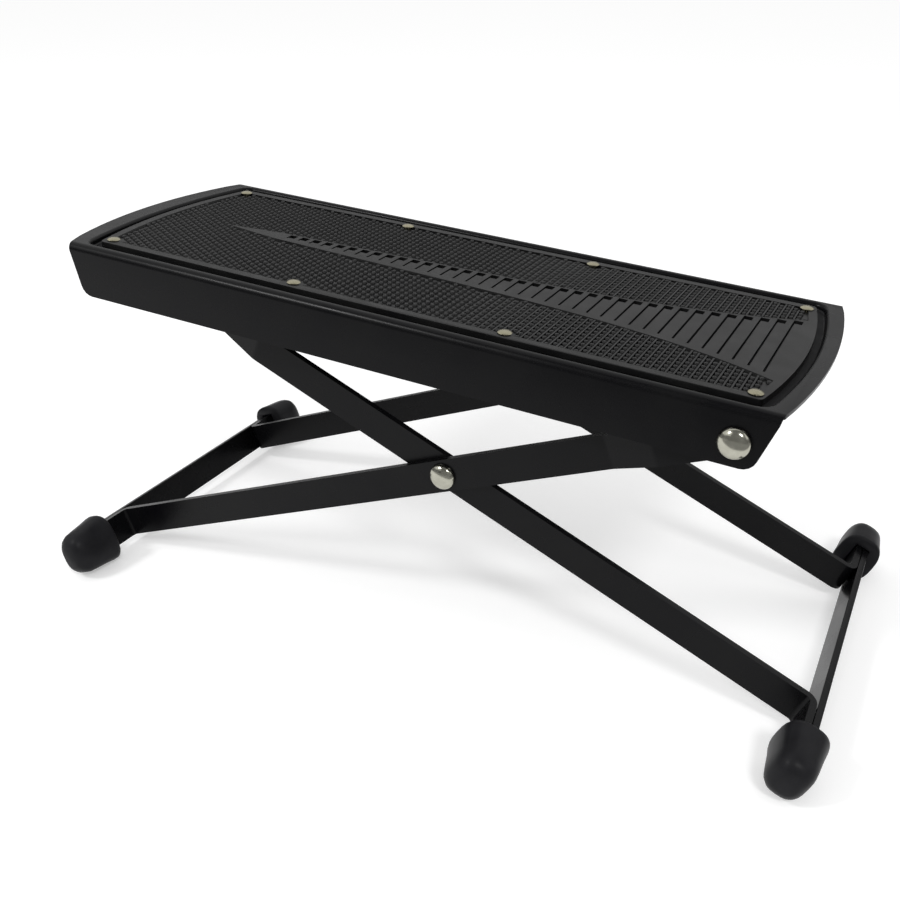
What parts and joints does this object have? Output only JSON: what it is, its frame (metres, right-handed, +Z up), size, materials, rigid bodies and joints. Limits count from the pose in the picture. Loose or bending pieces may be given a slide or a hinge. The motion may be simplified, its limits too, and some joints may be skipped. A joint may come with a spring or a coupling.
{
  "type": "guitar footrest",
  "caption": "Folding guitar footrest: pressed steel plate with a riveted rubber tread mat on a scissor of flat bar legs with rubber foot caps.",
  "frame": {"origin": "on the floor, under the middle of the footrest's overall length and width", "axes": "+X along the plate towards its low end with the plate pivots, +Y towards the far side, +Z up"},
  "size_m": [0.305, 0.1606, 0.1367],
  "materials": {
    "black_paint": "satin black paint",
    "mat_rubber": "moulded, matt",
    "cap_rubber": "moulded, satin",
    "nickel": "nickel plated, slightly brushed",
    "zinc": "zinc plated"
  },
  "bodies": {
    "plate": {"top_plate": "black_paint", "tread_mat": "mat_rubber", "mat_rivet_1": "nickel", "mat_rivet_2": "nickel", "mat_rivet_3": "nickel", "mat_rivet_4": "nickel", "mat_rivet_5": "nickel", "mat_rivet_6": "nickel", "mat_rivet_7": "nickel", "mat_rivet_8": "nickel", "rack_near": "black_paint", "rack_far": "black_paint", "pivot_rivet_near": "nickel", "pivot_rivet_far": "nickel", "pivot_spacer_near": "zinc", "pivot_spacer_far": "zinc"},
    "outer_frame": {"outer_leg_near": "black_paint", "outer_leg_far": "black_paint", "outer_crossbar": "black_paint", "scissor_rivet_near": "nickel", "scissor_rivet_far": "nickel", "scissor_washer_near": "zinc", "scissor_washer_far": "zinc", "high_cap_near": "cap_rubber", "high_cap_far": "cap_rubber"},
    "inner_frame": {"inner_leg_near": "black_paint", "inner_leg_far": "black_paint", "inner_crossbar": "black_paint", "height_rod": "zinc", "low_cap_near": "cap_rubber", "low_cap_far": "cap_rubber"}
  },
  "joints": [
    {"name": "leg_fold", "type": "hinge", "parent": "plate", "child": "outer_frame", "pos_m": [0.11045, 0, 0.10722], "axis": [0, -1, 0], "range_deg": [-24.77, 10.2]},
    {"name": "scissor_fold", "type": "hinge", "parent": "outer_frame", "child": "inner_frame", "pos_m": [0.01083, 0, 0.06928], "axis": [0, 1, 0], "range_deg": [-44.77, 18.44]}
  ],
  "couplings": [
    {"joint": "scissor_fold", "follows": "leg_fold", "ratio": 1.8069}
  ]
}
